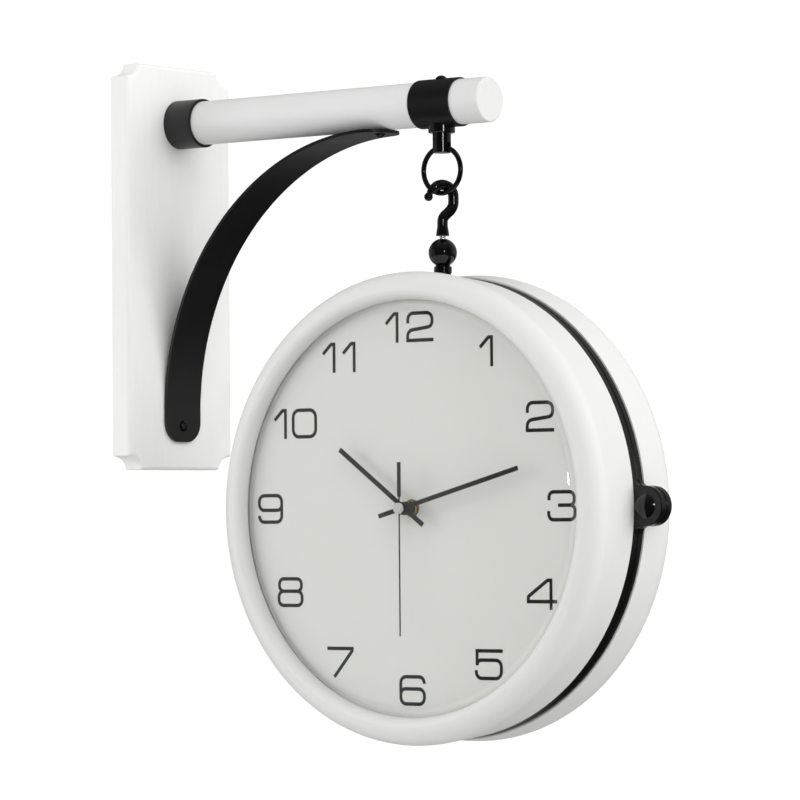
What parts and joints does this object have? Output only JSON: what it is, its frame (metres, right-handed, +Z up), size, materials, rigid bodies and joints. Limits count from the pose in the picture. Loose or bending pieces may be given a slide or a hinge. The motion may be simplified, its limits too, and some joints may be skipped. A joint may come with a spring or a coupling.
{
  "type": "double sided station clock",
  "caption": "Round clock with a dial on each side, hung by ring and swivel hook from a round wooden arm on a scalloped wall plate with a curved flat brace.",
  "frame": {"origin": "on the wall plane, which is the plate's back face, at the height of the arm's axis", "axes": "+X along the arm, away from the wall; +Z up; the front dial faces -Y"},
  "size_m": [0.416, 0.1103, 0.462],
  "materials": {
    "white_wood": "satin",
    "zinc_steel": "satin",
    "black_satin": "satin",
    "black_gloss": "gloss",
    "black_hoop": "satin",
    "white_case": "satin",
    "clear_lens": "gloss",
    "seal": "matte",
    "dial_face": "matte",
    "clip_steel": "satin",
    "movement_black": "matte",
    "battery_sleeve": "satin",
    "knob_red": "satin",
    "brass": "satin",
    "cap_silver": "satin",
    "hand_black": "matte"
  },
  "bodies": {
    "bracket": {"wall_plate": "white_wood", "keyhole_plates": "zinc_steel", "keyhole_screws": "zinc_steel", "arm": "white_wood", "arm_screw": "zinc_steel", "arm_collar": "black_satin", "brace_strap": "black_satin", "brace_foot_screw": "black_gloss", "brace_head_screw": "black_gloss", "arm_sleeve": "black_satin", "sleeve_screw": "black_gloss", "ring_stub": "black_gloss"},
    "ring": {"hang_ring": "black_gloss"},
    "hook": {"swivel_hook": "black_gloss", "swivel_pin": "zinc_steel"},
    "clock": {"swivel_ball": "black_gloss", "hanger_stem": "black_gloss", "stem_nut": "zinc_steel", "front_band": "black_hoop", "rear_band": "black_hoop", "ear_screws": "black_gloss", "ear_nuts": "black_gloss", "band_screws": "zinc_steel", "front_shell": "white_case", "front_lens": "clear_lens", "front_gasket": "seal", "front_dial": "dial_face", "front_dial_clips": "clip_steel", "front_clip_screws": "zinc_steel", "front_movement_case": "movement_black", "front_movement_cover": "movement_black", "front_battery": "battery_sleeve", "front_shaft_nut": "brass", "rear_shell": "white_case", "rear_lens": "clear_lens", "rear_gasket": "seal", "rear_dial": "dial_face", "rear_dial_clips": "clip_steel", "rear_clip_screws": "zinc_steel", "rear_movement_case": "movement_black", "rear_movement_cover": "movement_black", "rear_battery": "battery_sleeve", "rear_shaft_nut": "brass"},
    "front_hour": {"front_hour_tube": "brass", "front_hour_hand": "hand_black"},
    "front_minute": {"front_minute_tube": "brass", "front_minute_hand": "hand_black"},
    "front_second": {"front_second_arbor": "clip_steel", "front_second_hand": "hand_black", "front_hub_cap": "cap_silver"},
    "front_knob": {"front_setting_knob": "knob_red"},
    "rear_hour": {"rear_hour_tube": "brass", "rear_hour_hand": "hand_black"},
    "rear_minute": {"rear_minute_tube": "brass", "rear_minute_hand": "hand_black"},
    "rear_second": {"rear_second_arbor": "clip_steel", "rear_second_hand": "hand_black", "rear_hub_cap": "cap_silver"},
    "rear_knob": {"rear_setting_knob": "knob_red"}
  },
  "joints": [
    {"name": "ring_swing", "type": "hinge", "parent": "bracket", "child": "ring", "pos_m": [0.2425, 0, -0.0291], "axis": [1, 0, 0], "range_deg": [-35, 35]},
    {"name": "hook_swing", "type": "hinge", "parent": "ring", "child": "hook", "pos_m": [0.2425, 0, -0.0443], "axis": [0, 1, 0], "range_deg": [-30, 10]},
    {"name": "clock_swivel", "type": "hinge", "parent": "hook", "child": "clock", "pos_m": [0.2425, 0, -0.09885], "axis": [0, 0, 1], "continuous": true},
    {"name": "front_minute_turn", "type": "hinge", "parent": "clock", "child": "front_minute", "pos_m": [0.2425, -0.0023, -0.2674], "axis": [0, 1, 0], "continuous": true},
    {"name": "front_hour_turn", "type": "hinge", "parent": "clock", "child": "front_hour", "pos_m": [0.2425, -0.0023, -0.2674], "axis": [0, 1, 0], "continuous": true},
    {"name": "front_second_turn", "type": "hinge", "parent": "clock", "child": "front_second", "pos_m": [0.2425, -0.0023, -0.2674], "axis": [0, 1, 0], "continuous": true},
    {"name": "front_knob_turn", "type": "hinge", "parent": "clock", "child": "front_knob", "pos_m": [0.2555, -0.0023, -0.2544], "axis": [0, 1, 0], "continuous": true},
    {"name": "rear_minute_turn", "type": "hinge", "parent": "clock", "child": "rear_minute", "pos_m": [0.2425, -0.0023, -0.2674], "axis": [0, -1, 0], "continuous": true},
    {"name": "rear_hour_turn", "type": "hinge", "parent": "clock", "child": "rear_hour", "pos_m": [0.2425, -0.0023, -0.2674], "axis": [0, -1, 0], "continuous": true},
    {"name": "rear_second_turn", "type": "hinge", "parent": "clock", "child": "rear_second", "pos_m": [0.2425, -0.0023, -0.2674], "axis": [0, -1, 0], "continuous": true},
    {"name": "rear_knob_turn", "type": "hinge", "parent": "clock", "child": "rear_knob", "pos_m": [0.2295, -0.0023, -0.2544], "axis": [0, -1, 0], "continuous": true}
  ],
  "couplings": [
    {"joint": "front_hour_turn", "follows": "front_minute_turn", "ratio": 0.083333},
    {"joint": "front_second_turn", "follows": "front_minute_turn", "ratio": 60},
    {"joint": "front_knob_turn", "follows": "front_minute_turn", "ratio": -3},
    {"joint": "rear_hour_turn", "follows": "rear_minute_turn", "ratio": 0.083333},
    {"joint": "rear_second_turn", "follows": "rear_minute_turn", "ratio": 60},
    {"joint": "rear_knob_turn", "follows": "rear_minute_turn", "ratio": -3}
  ]
}
